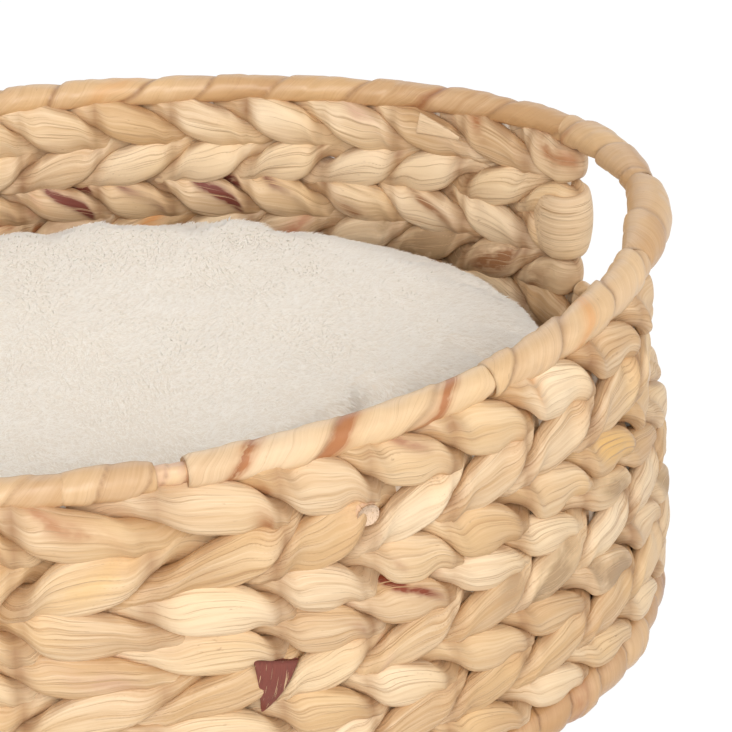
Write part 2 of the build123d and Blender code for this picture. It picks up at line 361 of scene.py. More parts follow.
# %% The leaf's colours
change = ramp(leaf, number(leaf, "SUBTRACT", band, 0.5), 1.2,
              times(leaf, number(leaf, "SUBTRACT", fibre, 0.5), 1.5), clamp=False)
lightness = ramp(leaf, change, given["Contrast"], ramp(leaf, given["Tone"], 0.46, 0.54, clamp=False))
colour = blend_colours(leaf, lightness, (0.64, 0.39, 0.19), (0.96, 0.74, 0.49))
# The Tip mask browns the leaf's ends and edges, and also paints shade where strands cross, rows meet and wraps
# lap.
for share, strength, mark in (
        (ramp(leaf, hue, 3.5, -1.5), 0.55, (0.89, 0.61, 0.31)),                     # warmer parts
        (given["Tip"], 0.62, (0.41, 0.205, 0.082)),                                 # brown edges and ends, and painted shade in the crevices
        (times(leaf, given["Tip"], ramp(leaf, band, 2.4, -0.6)), 0.85, (0.33, 0.145, 0.055)),
        (crease, 0.48, (0.44, 0.215, 0.085)), (speck, 0.6, (0.33, 0.14, 0.06))):
    colour = blend_colours(leaf, times(leaf, share, strength), colour, mark)
leaf.links.new(colour, result["Colour"])
height = ramp(leaf, fibre, 0.5, times(leaf, band, 0.25), clamp=False)
leaf.links.new(number(leaf, "SUBTRACT", height, times(leaf, crease, 0.28)), result["Height"])
leaf.links.new(blotch, result["Blotch"])
print("leaf pattern:", len(leaf.nodes), "nodes")


# %% Leaf materials
def leaf_material(name, tint, roughness, gloss, relief, contrast):
    """Material for leaf: the shared pattern, tinted, with the piece's own stains over it."""
    material, tree, shader = new_material(
        name, {"Coat Weight": gloss, "Coat Roughness": 0.35, "Specular IOR Level": 0.35})
    pattern = tree.nodes.new("ShaderNodeGroup")
    pattern.node_tree = leaf
    pattern.inputs["Contrast"].default_value = contrast
    read = {}
    for key in ("grain", "tone", "tip", "stain"):
        node = tree.nodes.new("ShaderNodeAttribute")
        node.attribute_name = key
        read[key] = node.outputs
    for key, output in (("grain", "Vector"), ("tone", "Fac"), ("tip", "Fac")):
        tree.links.new(read[key][output], pattern.inputs[key.capitalize()])
    colour = blend_colours(tree, 1.0, pattern.outputs["Colour"], tint, "MULTIPLY")
    share = times(tree, read["stain"]["Alpha"], ramp(tree, pattern.outputs["Blotch"], 4.0, -1.1))
    share = times(tree, share, ramp(tree, pattern.outputs["Height"], 5.0, -0.8))
    stained = blend_colours(tree, 0.45, read["stain"]["Color"], pattern.outputs["Colour"], "MULTIPLY")
    colour = blend_colours(tree, share, colour, stained)
    tree.links.new(colour, shader.inputs["Base Color"])
    rough = ramp(tree, pattern.outputs["Height"], 0.25, roughness - 0.12, clamp=False)
    tree.links.new(rough, shader.inputs["Roughness"])
    add_bump(tree, shader, pattern.outputs["Height"], relief, 0.0008)
    return material


leaves = {"twined_leaf": leaf_material("twined_leaf", (0.92, 0.92, 0.92), 0.52, 0.0, 0.8, 0.9),
          "wrapped_leaf": leaf_material("wrapped_leaf", (0.85, 0.80, 0.75), 0.40, 0.28, 0.40, 0.42),
          "floor_leaf": leaf_material("floor_leaf", (0.90, 0.89, 0.86), 0.60, 0.0, 0.6, 1.0)}
print("leaf materials:", *leaves)


def leaf_piece(name, grid, values, slot, nodes=(), closed=False):
    """One grid of leaf on the basket, with the material of its slot."""
    return build(name, [grid], {key: [value] for key, value in values.items()}, leaves[slot],
                 "basket", nodes, closed)


# %% [markdown]
# ## Stains
# The leaves of one basket come from many plants. A few have a dark red edge, a grey side or a
# yellow streak. Grey on the lower rows at the right front is painted shade on that side of the wall.
# Such an accent belongs to one leaf at one stake, on one side of the wall, so it is told that way:
# row, stake, side, colour, its height on the leaf, and how far it reaches.

# %% The stained leaves
maroon, dark_red, red_brown = (0.22, 0.065, 0.05), (0.26, 0.06, 0.025), (0.46, 0.20, 0.08)
russet, umber, purple = (0.60, 0.30, 0.18), (0.35, 0.18, 0.09), (0.42, 0.21, 0.13)
orange, yellow, grey_leaf_and_shade = (0.76, 0.40, 0.15), (0.86, 0.60, 0.25), (0.48, 0.35, 0.215)
pink, pale = (0.70, 0.47, 0.36), (0.90, 0.74, 0.54)
# For a row and a side of the wall, 1 outside and -1 inside: stake, colour, height on the leaf, its
# reach, shift in stakes, reach, strength
leaf_stains = {
    ("up 1", 1): ((33, purple, 0.7, 0.25, -0.1, 0.35, 0.9), (32, red_brown, 0.1, 0.6, -0.6, 0.14, 0.9),
        (35, orange, 0, 0.6, -0.45, 0.15, 0.9), (30, red_brown, 0.5, 0.4, -0.2, 0.5, 0.8)),
    ("up 1", -1): ((7, pink, 0.7, 0.3, 0, 0.25, 0.9), (6, pale, 0.6, 0.4, -0.2, 0.2, 1.0),
        (5, red_brown, 0.3, 0.4, 0.35, 0.2, 1.0), (4, red_brown, 0.4, 0.5, 0.1, 0.25, 1.0)),
    ("up 2", 1): ((37, yellow, 0, 0.6, 0, 0.5, 0.6), (30, yellow, 0, 0.5, 0.2, 0.5, 0.5),
        (13, red_brown, 0.5, 0.4, 0, 0.4, 0.9)),
    ("up 3", 1): ((33, purple, -0.3, 0.16, -0.15, 0.07, 0.9), (36, yellow, 0.3, 0.6, 0, 0.5, 1.2),
        (27, maroon, 0.3, 0.3, 0.3, 0.2, 1.0)),
    ("up 3", -1): ((9, maroon, 0.5, 0.26, -0.15, 0.7, 2.1), (11, maroon, 0.52, 0.26, -0.2, 0.7, 2.0),
        (12, russet, -0.35, 0.35, -0.1, 0.5, 1.5), (6, umber, 0.5, 0.25, 0, 0.5, 1.1),
        (7, umber, -0.5, 0.3, 0, 0.4, 1.0)),
    ("up 4", -1): ((11, red_brown, 0.3, 0.7, 0.4, 0.5, 1.2), (10, orange, 0.1, 0.5, 0, 0.45, 1.3),
        (6, grey_leaf_and_shade, 0, 0.9, 0, 0.6, 2.6), (5, umber, 0.1, 0.9, -0.2, 0.7, 1.4),
        (8, russet, -0.1, 0.4, 0, 0.4, 1.2)),
    # Grey at stakes 35 to 38 of the lower rows is painted shade on the right front of the wall.
    ("low 1", 1): ((33, dark_red, 0.58, 0.22, -0.13, 0.4, 2.0), (36, grey_leaf_and_shade, 0.2, 0.5, 0.1, 0.4, 1.4),
        (30, pink, 0.2, 0.5, 0.2, 0.3, 0.6), (17, grey_leaf_and_shade, 0, 0.8, 0, 0.5, 0.9)),
    ("low 2", 1): ((33, pink, 0.5, 0.4, -0.45, 0.15, 0.9), (35, grey_leaf_and_shade, 0, 0.9, -0.2, 0.6, 1.5),
        (6, dark_red, 0.6, 0.3, 0, 0.3, 1.1)),
    ("low 3", 1): ((36, grey_leaf_and_shade, 0, 0.9, 0, 0.5, 1.6), (38, grey_leaf_and_shade, 0, 0.8, 0, 0.5, 1.4),
        (10, yellow, 0, 0.7, 0, 0.5, 0.8)),
    ("low 4", 1): ((22, maroon, 0.4, 0.4, 0.2, 0.3, 1.0), (28, yellow, 0.1, 0.6, 0, 0.4, 0.8)),
}


def lay_stain(layer, bell, colour):
    """Stains a layer of colours and strengths where the bell is stronger than what is there."""
    more = bell > layer[..., 3]
    layer[more, :3] = colour
    layer[..., 3] = np.maximum(layer[..., 3], bell)


def stain_layer(row, stake, facing, upward):
    """Colour and strength of the stains over one strand: bells along the stakes and over the height,
    on the side of the strand that faces the accent's side of the wall."""
    layer = np.zeros((*upward.shape, 4))
    layer[..., :3] = orange
    for side in (1, -1):
        for k, colour, height, high, shift, long, strength in leaf_stains.get((row, side), ()):
            off = (stake - k - shift + stake_count / 2) % stake_count - stake_count / 2
            bell = np.exp(-(off / long) ** 2)[:, None] * np.exp(-((upward - height) / high) ** 2)
            lay_stain(layer, bell * (strength * smooth(side * facing, 0.05, 0.45)), colour)
    return layer


# %% [markdown]
# ## The twined wall
# Two soft strands take turns: one passes outside a stake while the other passes inside, and
# between two stakes they cross. Together they make a rope with half a turn for each stake. So
# each strand is a helix. Where it shows, at a stake, it is broad and flat, and where the two
# cross it is squeezed round, which gives the long leaf-shaped bulges. Bulges made one by one
# would be separate lumps, so each strand is one long tube, and the chance values above make
# every bulge a little taller or fuller than the last.

# %% Course of a strand
stake_reach = 0.0049            # from a stake's axis to the middle of the strand that passes it
strand_thick = 0.0061           # half of it, where the strand is broad
lag = 0.36                      # radians by which the section trails the helix, at most
blunt = 0.95                    # how sharp the zigzag's corners are, where 1 is a point
steps = 20     # grid rows for each stake
around = 48    # grid columns round a strand
up = np.array([0, 0, 1.0])


def helix(k, twist, heading, lift, flat_side, jitter):
    """Centre offsets and section directions. The angle grows by half a turn for each stake. The section
    lags behind it near a stake, so that its flat side stays outward for longer. The height is the arc
    sine of the angle's sine, a zigzag with rounded corners, so each bulge lies straight and slanted."""
    point, outward, _ = on_oval(k)
    angle = twist * np.pi * (k + jitter) + (0 if flat_side > 0 else np.pi)
    c, s = np.cos(angle)[:, None], np.sin(angle)[:, None]
    zigzag = np.arcsin(blunt * s) / np.arcsin(blunt)
    offset = outward * c * stake_reach + up * zigzag * 1.12 * lift[:, None]
    turned = angle - lag * np.sin(2 * angle)
    c, s = np.cos(turned)[:, None], np.sin(turned)[:, None]
    return point, offset, outward * c + up * s, (up * c - outward * s) * heading


def fold(k, side, twist, heading, count):
    """Half turn round stake k: the strand circles the wire, and its height makes one small wave."""
    alpha = np.pi * np.arange(count) / count
    k = np.full(count, float(k))
    point, outward, forward = on_oval(k)
    here = side * np.cos(np.pi * k)[:, None]
    c, s = np.cos(alpha)[:, None], np.sin(alpha)[:, None]
    normal = outward * here * c + forward * heading * s
    wave = 0.1 * stake_reach * np.sin(2 * alpha)[:, None] * here * twist
    return point, normal * stake_reach + up * wave, normal, np.repeat(up[None] * here[0] * heading, count, 0)


def whole_course(courses, twist, rows, seed):
    """Runs and folds one after the other, and the stake that each grid row of them is at."""
    parts, passed = [], []
    for kind, first, last, side, heading in courses:
        if kind == "run":
            k = np.linspace(first, last, int(abs(last - first) * steps) + 1)
            k = k[:-1] if len(courses) > 1 else k
            point = on_oval(k)[0]
            pitch = (weave_top - join(point) if len(courses) > 1 else join(point) - weave_bottom) / rows
            fade = smooth(np.minimum(np.abs(k - first), np.abs(last - k)), 0, 1)
            jitter = heading * fade * 0.07 * wander(k, endless, seed + 1)
            parts.append(helix(k, twist, heading, pitch / 4, side, jitter))
        else:
            k = np.full(steps, float(first))
            parts.append(fold(first, side, twist, heading, steps))
        passed.append(k)
    return [np.concatenate(part) for part in zip(*parts)] + [np.concatenate(passed)]


# %% Relief of a strand
def creases(p, turned, period, seed):
    """Height over the section: a soft ripple, and five thin grooves, each with a swelling at one side.
    A groove is a bell over the angle to a line that wanders along the strand and fades in and out."""
    relief = 0.00022 * ripple(p[:, None] * 2, turned / (2 * np.pi) * 9, period * 2, 9, seed + 6)
    for n in range(5):
        line = n * 1.257 + 0.8 * wander(p * 0.5, period / 2, seed + 10 + n)[:, None]
        off = (turned - line + np.pi) % (2 * np.pi) - np.pi
        deep = np.clip(wander(p, period, seed + 20 + n) + 0.15, 0, 1)[:, None]
        relief = relief - 0.00038 * deep * np.exp(-(off / 0.10) ** 2)
        relief = relief + 0.0002 * deep * np.exp(-((off - 0.34) / 0.26) ** 2)
    return relief


# %% A strand
def strand(name, row, rows, twist, courses, period, nodes, seed, paleness_and_painted_light=0.0):
    """A tube along its courses. Its section is a power of the sine for the height and of the cosine
    for the thickness, fuller on the side that shows."""
    upper = len(courses) > 1
    point, offset, normal, across, stake = whole_course(courses, twist, rows, seed)
    p = np.arange(len(stake)) / steps if upper else stake
    outward = on_oval(stake)[1]
    snug = np.zeros(len(stake))         # 1 where the strand is drawn tight round an end stake
    if upper:
        run_ends = [first for _, first, _, _, _ in courses]
        snug = np.exp(-(np.minimum(stake - min(run_ends), max(run_ends) - stake) / 0.3) ** 2)
        offset = offset - (offset - up * offset[:, 2:]) * 0.2 * snug[:, None]
    high, low = (weave_top, join(point)) if upper else (join(point), weave_bottom)
    pitch = (high - low) / rows
    height = level(point, high - (row - 0.5) * pitch)
    under_rim = upper and row == 1
    showing = np.einsum("ij,ij->i", normal, outward)
    broad = np.abs(showing)             # 1 at a stake, 0 at a crossing

    # Half the height and half the thickness, from a crossing to a stake, each bulge a little other.
    tall = pitch * (0.46 + 0.13 * broad) * (1 + 0.10 * wander(p, period, seed + 4, 0.1))
    thick = pitch * (0.44 if under_rim else 0.41) * (1 - broad) + strand_thick * broad
    thick *= (1 + 0.12 * wander(p, period, seed + 3, 0.15)) * (1 - 0.28 * snug)
    centre = point + offset + outward * (belly(height) + 0.0005 * wander(p, period, seed + 5))[:, None]
    centre[:, 2] += height + (0.0008 * wander(p, period, seed + 2) + (0.0018 if under_rim else 0))
    theta, c, s = circle(around)
    lens = swell(c, 1.0 - 0.2 * broad[:, None]) * np.where(c > 0, 1.10, 0.76)
    # Fibres don't turn with the section: each line of them keeps facing the same way as it travels.
    travel = np.concatenate([[0], np.cumsum(np.abs(np.diff(stake)))]) if upper else stake
    turned = theta[None] + (twist * (np.pi * travel - lag * np.sin(2 * np.pi * travel)))[:, None]
    relief = creases(p, turned, period, seed)
    grid = (centre[:, None] + normal[:, None] * (thick[:, None] * lens + relief * c)[..., None]
            + across[:, None] * (tall[:, None] * swell(s, 0.92) + relief * s)[..., None])

    # What the material reads: place on the leaf, paleness with painted light on the far wall, brown ends and
    # edges that also carry painted shade, and stains.
    run = np.cumsum(np.linalg.norm(np.diff(centre, axis=0, prepend=centre[:1]), axis=1))[:, None]
    grain = [run + seed * 0.37, np.cos(turned) * 0.008, np.sin(turned) * 0.008]
    # Browner near a crossing: the leaf's brown end, and painted shade where it dips under its neighbour.
    tip = (1 - broad) ** 1.5 * (0.55 + 0.45 * wander(p + 0.5, period, seed + 8))
    upward = across[:, 2:] * s
    # Top and bottom edges are browned too, with painted shade where one row meets the next.
    brown_and_shade = smooth(np.abs(upward), 0.80, 1.0) * (0.35 + 0.3 * wander(p, period, seed + 9))[:, None]
    values = {"grain": np.stack(np.broadcast_arrays(*grain), -1),
              "tone": wander(p, period, seed + 7, 0.3)[:, None] + 0 * turned + paleness_and_painted_light,
              "tip": np.maximum(tip[:, None] * (0.6 + 0.4 * np.abs(s)), brown_and_shade),
              "stain": stain_layer(("up " if upper else "low ") + str(row), stake,
                                   showing[:, None] * c, upward)}
    return leaf_piece(name, grid, values, "twined_leaf", nodes, closed=upper)


# %% The upper rows, folded round the stakes beside the openings
# Tone offsets by row: the far wall's rows are painted paler, as light on the inside of the far wall, and the
# front rows a little darker.
back_painted_light = {1: 0.2, 2: 0.9, 3: 0.5, 4: 0.5}
for wall, first, last, twists in (("back", 4, 20, (-1, 1, -1, 1)), ("front", 24, stake_count, (-1, 1, -1))):
    for row, twist in enumerate(twists, 1):
        courses = [("run", first, last, 1, 1), ("fold", last, last, 1, 1),
                   ("run", last, first, -1, -1), ("fold", first, first, -1, -1)]
        strand(f"{wall}_row_{row}", row, len(twists), twist, courses, 2 * (last - first) + 2,
               [f"{wall}_weave_row_{row}"], 100 * row + (7 if wall == "back" else 53),
               back_painted_light[row] if wall == "back" else -0.1)
print("upper rows: 4 at the back, 3 in front")

# %% The lower rows, all the way round. One strand ends where its twin begins, so both are parts of
# one course of two rounds, and share its chance values.
for row, twist in enumerate((-1, 1, -1, 1, -1), 1):
    start = 4 + 2 * row
    for turn_number, letter in enumerate("ab"):
        first = start + turn_number * stake_count
        strand(f"low_row_{row}_{letter}", row, 5, twist, [("run", first, first + stake_count, 1, 1)],
               2 * stake_count, [f"lower_weave_row_{row}_strand_{letter}"], 1000 * row)
print("lower rows: 5 of 2 strands")

# %% [markdown]
# ## Wound leaf
# The rim, the bottom hoop and the sills are wire wound with leaf ribbon. Each turn of the
# ribbon lies over the edge of the last, so the surface rises slowly and drops at each seam,
# like roof shingles laid on a spiral. The distance to the seam depends on the place along the
# hoop and on the angle round it, and one formula gives the whole surface from these two. A
# separate ribbon wound round a curve would show the same seam at many times the faces.

# %% Wraps
clearance = 0.0002      # over the ground that the basket stands on
lap_from = 0.93         # share of the ribbon's width from which it drops to the next turn


def wound(name, ks, path, radius, ribbon, shingle, paleness_and_shade, seam, node, seed, stains=(), brown_and_shade=0.35):
    """A wound tube. radius is its size without the ribbon's steps, ribbon the width of a turn, and
    shingle how far an edge stands up. Along a seam, the place grows by one ribbon in a full turn.
    seam is the stake of the first seam, and brown_and_shade how dark the seams are: a browned ribbon edge, with
    painted shade in the gap at each seam."""
    middle, outward = path
    columns = 48
    _, c, s = circle(columns, -np.pi / 2)
    place, seams_at = along_rim(ks), along_rim(np.float64(seam))
    share = np.arange(columns)[None] / columns
    uneven = 0.16 * wander(place / ribbon, endless, seed + 1)[:, None]
    phase = (place[:, None] - seams_at) / ribbon - share + uneven
    phase += 0.05 * ripple(place[:, None] / 0.012, share * 6, endless, 6, seed + 2)
    turns = np.floor(phase)
    q = phase - turns
    edge = q - smooth(q, lap_from, 1.0)
    plump = np.sin(np.pi * q)
    strip = wander(turns + share, endless, seed + 3, 0.35)
    size = radius[:, None] + shingle * (edge + 0.35 * plump) * (0.75 + 0.35 * strip)
    size = size + 0.00035 * ripple(place[:, None] / 0.006, share * 10, endless, 10, seed + 4)
    # Some turns have a crease along their middle, and both ends of the wrap are rounded off.
    size -= shingle * 0.25 * np.exp(-((q - 0.5 - 0.2 * strip) / 0.05) ** 2) * (strip > 0.1)
    to_end = np.minimum(place - place[0], place[-1] - place)[:, None]
    size = size * (1 - 0.10 * np.exp(-to_end / 0.0012))
    grid = middle[:, None] + outward[:, None] * (size * c)[..., None] + up * (size * s)[..., None]
    grid[..., 2] = np.maximum(grid[..., 2], clearance)
    long = (turns + share) * np.hypot(ribbon, 2 * np.pi * radius.mean())
    grain = np.stack([long + seed * 0.13, q * ribbon * 0.8, np.full_like(q, seed * 0.01)], -1)
    # Darker at the seams: the ribbon's browned edge, and painted shade in the gap under each lapped edge.
    tip = np.exp(-(np.minimum(q, 1 - q) / 0.05) ** 2) * (brown_and_shade + 0.35 * strip)
    stain = np.zeros((*q.shape, 4))
    stain[..., :3] = red_brown
    for k, colour, where, wide, strength in stains:
        off = phase - (along_rim(np.float64(k)) - seams_at) / ribbon - where
        lay_stain(stain, strength * np.exp(-(off / wide) ** 2), colour)
    values = {"grain": grain, "tone": paleness_and_shade + 0.8 * strip, "tip": np.clip(tip, 0, 1), "stain": stain}
    return leaf_piece(name, grid, values, "wrapped_leaf", [node])


def hoop_path(ks, height, arch):
    """Middle line of a hoop and its outward directions."""
    point, outward, _ = on_oval(ks)
    point[:, 2] = height + (rise(point) if arch else 0)
    return point + outward * belly(height), outward


# %% The rim, in the lengths of its separate wraps
# name: from stake, to stake, millimetres across the ends and the middle, ribbon's width and step in
# millimetres, paleness (low on the far wraps as painted shade), stake of a seam
rim_wraps = {
    "handle_right_front": (0, 2, 14, 19, 42, 1.6, -0.5, 0.3),
    "handle_right_back": (2, 4, 13, 14, 26, 2.0, -0.6, 2.6),
    # The two far wraps are darkened: painted shade on the far side of the rim.
    "back_right": (4, 12, 11, 11.5, 37, 1.5, -1.2, 4.3),
    "back_left": (12, 20, 11, 11.5, 39, 1.5, -1.2, 12.4),
    "handle_left": (20, 24, 13, 17, 40, 1.6, -0.3, 20.5),
    "front_left": (24, 30, 13, 14, 36, 0.9, -0.1, 24.5),
    "front_wrinkled": (30, 30.54, 13, 15, 20, 0.8, -0.7, 30.1),
    "front_thin": (30.54, 30.76, 8.5, 8.5, 9, 0.5, 0.2, 30.6),
    "front_glossy": (30.76, 34.1, 14, 15, 38, 0.8, 0.6, 30.95),
    "front_right": (34.1, 37, 14, 15, 30, 1.7, -0.5, 34.2),
}
# name: stake, colour, shift and width in turns of the ribbon, strength
rim_stains = {
    "front_glossy": ((30.95, red_brown, 0.03, 0.11, 1.6), (31.95, red_brown, 0.06, 0.13, 1.4),
                     (32.98, red_brown, 0.07, 0.10, 1.4)),
    "front_thin": ((30.65, pink, 0, 2.0, 0.9),),
    "front_right": ((35.2, orange, 0.1, 0.10, 0.7),),
    "handle_right_back": ((3.3, red_brown, 0, 0.06, 0.9),),
    "back_right": ((9.5, orange, 0.1, 0.12, 0.4), (5.3, red_brown, 0, 0.08, 0.8)),
    "handle_left": ((21.5, orange, 0.1, 0.15, 0.8),),
    "front_left": ((26.5, red_brown, 0.1, 0.12, 0.9),),
}
grid_step = 0.0014
overlap = 0.03                  # in stakes, by which a wrap runs into the next one
for order, (place, sizes) in enumerate(rim_wraps.items()):
    first, last, thin, full, ribbon, shingle, paleness_and_shade, seam = sizes
    count = int((along_rim(np.float64(last)) - along_rim(np.float64(first))) / grid_step)
    ks = first + (last - first + overlap) * np.linspace(0, 1, max(count, 12))
    swelling = np.sin(np.pi * (ks - first) / (last - first))
    radius = (thin + (full - thin) * swelling) / 2000 - 0.0003
    wound("rim_" + place, ks, hoop_path(ks, rim_height, True), radius, ribbon / 1000, shingle / 1000,
          paleness_and_shade, seam, "rim_wrap_" + place, 40 + 9 * order, rim_stains.get(place, ()))
print("rim:", len(rim_wraps), "wraps")

# %% The bottom hoop and the sills
bottom_wraps = {"right": (-3, 7), "back": (7, 17), "left": (17, 26), "front": (26, 34)}
for order, (place, (first, last)) in enumerate(bottom_wraps.items()):
    ks = first + (last - first + overlap) * np.linspace(0, 1, (last - first) * (24))
    stains = ((first + 1.3, red_brown, 0, 0.3, 0.7), (first + 3.8, maroon, 0, 0.3, 0.6),
              (first + 7.1, pale, 0, 0.5, 0.8))
    # Seams here are darkest, with the most painted shade in the gaps between turns.
    wound("bottom_" + place, ks, hoop_path(ks, 0.0100, False), np.full_like(ks, 0.0084), 0.022, 0.0034,
          -0.9, first, "bottom_wrap_" + place, 500 + 13 * order, stains, brown_and_shade=0.9)
inset = 0.0106 / (opening_width / 4)        # in stakes, from the corner of an opening
for order, (place, first) in enumerate((("right", 0), ("left", 20))):
    ks = first + inset + (4 - 2 * inset) * np.linspace(0, 1, 90)
    point, outward, _ = on_oval(ks)
    point[:, 2] = level(point, join(point)) + 0.0043
    wound("sill_" + place, ks, (point, outward), np.full_like(ks, 0.0037), 0.021, 0.0006, 0.0, first,
          "sill_wrap_" + place, 700 + 13 * order)
print("bottom hoop: 4 wraps, sills: 2 wraps")

# %% [markdown]
# ## Loose slips
# A hand-made wall has a few odd ends: a cut strand that looks out between two rows, a dark leaf
# folded over, a torn edge under the rim, and one broad leaf laid round the folds beside an
# opening. Each follows a short line of its own, so one flattened tube is enough for all four.

# %% Slips
def slip(name, centre, normal, wide, thick, colour, strength, seed):
    """A flattened tube along a line: wide across it, thin along its normal, and closed at both ends."""
    run = np.gradient(centre, axis=0)
    across = np.cross(normal, run)
    across /= np.linalg.norm(across, axis=1, keepdims=True)
    theta, c, s = circle(32)
    ridges = 0.00025 * ripple(np.arange(len(centre))[:, None] / 6, theta / (2 * np.pi) * 9, 99, 9, seed)
    deep = thick[:, None] * swell(c, 0.8) + ridges * np.minimum(thick[:, None] / 0.002, 1)
    broad = wide[:, None] * swell(s, 0.9)
    grid = centre[:, None] + normal[:, None] * deep[..., None] + across[:, None] * broad[..., None]
    length = np.cumsum(np.linalg.norm(run, axis=1))[:, None]
    values = {"grain": np.stack(np.broadcast_arrays(length + seed, broad, deep), -1),
              "tone": np.full(deep.shape, 0.30), "tip": 0.3 * np.abs(s) ** 8 + 0 * deep,
              "stain": np.concatenate([np.broadcast_to(colour, (*deep.shape, 3)),
                                       np.full((*deep.shape, 1), strength)], -1)}
    return leaf_piece(name, grid, values, "twined_leaf")


def beside(ks, off, heights):
    """Points near the wall, given by stake, distance outward from the stakes, and height."""
    point, outward, _ = on_oval(ks)
    point = point + outward * off[:, None]
    point[:, 2] = heights
    return point, outward


line = np.linspace(0, 1, 14)
point, _ = beside(32.46 + 0 * line, -0.003 + 0.0142 * line, 0.1590 - 0.001 * line)
slip("cut_strand_end", point, np.tile(up, (14, 1)), 0.0050 + 0 * line, 0.0047 + 0 * line,
     (0.86, 0.70, 0.56), 1.3, 3)
point, outward = beside(31.45 - 0.16 * line, 0.0085 + 0.003 * np.sin(np.pi * line), 0.0990 - 0.0240 * line)
slip("folded_dark_leaf", point, outward, 0.0098 * (1 - line) ** 0.9 + 0.0005, 0.0014 - 0.0009 * line,
     maroon, 20.0, 11)
point, outward = beside(6.12 - 0.62 * line, -0.0118 - 0.0008 * line, 0.1880 - 0.0035 * line)
slip("torn_leaf_edge", point, -outward, 0.0056 - 0.0048 * line, 0.0010 - 0.0004 * line, pale, 0.9, 17)

# %% The broad leaf, bent round stake 4
line = np.linspace(0, 1, 60)
bend = np.pi * np.clip((line - 0.30) / 0.40, 0, 1)[:, None]
ks = 4 + 0.34 * np.abs(np.where(line < 0.3, 0.3 - line, np.maximum(line - 0.7, 0))) / 0.3
point, outward, forward = on_oval(ks)
normal = -outward * np.cos(bend) - forward * np.sin(bend)
row_high = (weave_top - join(point)) / 4
to_end = np.abs(2 * line - 1)
point = point + normal * (0.0086 - 0.0012 * to_end ** 4)[:, None]
point[:, 2] = level(point, weave_top - 2.05 * row_high)
slip("broad_leaf_at_opening", point, normal, row_high * (0.92 - 0.25 * to_end ** 3),
     0.0040 - 0.0028 * to_end ** 4, pale, 0.30, 23)
print("slips: 4")

# %% [markdown]
# ## Wire
# The stakes are cream lacquered steel wire. Little of them shows, in the gaps of the weave, but
# there they are bright and round. A rod is a very short grid: two circles at each end, the outer
# one smaller. The lacquer has a few dull spots, so its roughness changes with a slow noise.

# %% Lacquered wire
lacquer, tree, shader = new_material("cream_lacquer", {})
where = tree.nodes.new("ShaderNodeTexCoord").outputs["Object"]
dull = noise(tree, where, (90, 90, 30), 3.0)
tree.links.new(blend_colours(tree, dull, (0.80, 0.70, 0.56), (0.90, 0.84, 0.74)), shader.inputs["Base Color"])
tree.links.new(ramp(tree, dull, 0.3, 0.25, clamp=False), shader.inputs["Roughness"])
for hoop in ("top_hoop", "bottom_hoop"):
    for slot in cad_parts[hoop].material_slots:
        slot.material = lacquer


def rod(start, end, radius, sides=12):
    """Two circles round each end, square to the line between the ends, so that its edge is broken."""
    axis = (end - start) / np.linalg.norm(end - start)
    side = np.cross(axis, [0.31, 0.95, 0.05])
    side /= np.linalg.norm(side)
    other = np.cross(axis, side)
    _, c, s = circle(sides)
    ring = radius * (c[:, None] * side + s[:, None] * other)
    chamfer = axis * radius * 0.3
    return np.stack([start + 0.85 * ring, start + chamfer + ring, end - chamfer + ring, end + 0.85 * ring])


sill_stakes = (1, 2, 3, 21, 22, 23)
for name, numbers in (("side_stakes", [k for k in range(stake_count) if k not in sill_stakes]),
                      ("sill_stakes", sill_stakes)):
    point, _, _ = on_oval(np.array(numbers, float))
    top = rim_height + rise(point) - 0.0028 if name == "side_stakes" else level(point, join(point))
    rods = [rod(np.array([x, y, 0.0125]), np.array([x, y, high]), 0.002)
            for (x, y, _), high in zip(point, top)]
    build(name + "_round", rods, {}, lacquer, "basket", [name])
wire_pitch, wire_height = 0.088, 0.010
wire_places = (np.arange(5) - 2) * wire_pitch
reach = half_width * np.sqrt(1 - (wire_places / half_length) ** 2) - 0.0045
build("floor_wires", [rod(np.array([x, -y, wire_height]), np.array([x, y, wire_height]), 0.0021)
                      for x, y in zip(wire_places, reach)], {}, lacquer, "basket", ["base_wires"])
low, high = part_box("base_wires")
print("stakes:", stake_count, "cross wires:", len(wire_places), "heights:", round(low[2], 4), round(high[2], 4))

# %% [markdown]
# ## The woven floor
# Flat straps of leaf run along the basket, over one cross wire and under the next. A strap is a
# cosine wave along its length with a flattened oval as its section. Neighbours wave the other
# way, so the phase changes sign from strap to strap.

# %% Floor straps
floor_length, floor_width = half_length - 0.01355, half_width - 0.01355
strap_half, strap_thick, strap_pitch = 0.0094, 0.0024, 0.020    # half width, half thickness, pitch
straps, values = [], {"grain": [], "tone": [], "tip": [], "stain": []}
theta, c, s = circle(20)
for j in range(-8, 8):
    y = (j + 0.5) * strap_pitch
    edge = (abs(y) + 0.0098) / floor_width
    if edge >= 1 or floor_length * np.sqrt(1 - edge ** 2) < 0.06:
        continue
    reach = floor_length * np.sqrt(1 - edge ** 2)
    x = np.linspace(-reach, reach, 90)
    wave = 0.0045 * (-1) ** j * np.cos(np.pi * np.clip(x, -2 * wire_pitch, 2 * wire_pitch) / wire_pitch)
    ribs = 1 + 0.10 * ripple(x[:, None] / 0.03, theta / (2 * np.pi) * 9, 99, 9, 60 + j)
    x, flat, same = x[:, None], strap_half * swell(c, 0.6), 0 * ribs
    straps.append(np.stack([x + same, y + flat + same, wire_height + wave[:, None]
                            + strap_thick * swell(s, 0.9) * ribs], -1))
    values["grain"].append(np.stack([x + j + same, flat + same, strap_thick * swell(s, 0.9) + same], -1))
    values["tone"].append(wander(x / 0.09 + 50, 99, 80 + j) + same)
    values["tip"].append(0.4 * smooth(np.abs(x) / reach, 0.9, 1.0) + same)
    values["stain"].append(np.zeros((*ribs.shape, 4)))
build("floor_straps", straps, values, leaves["floor_leaf"], "basket", ["base_straps"])
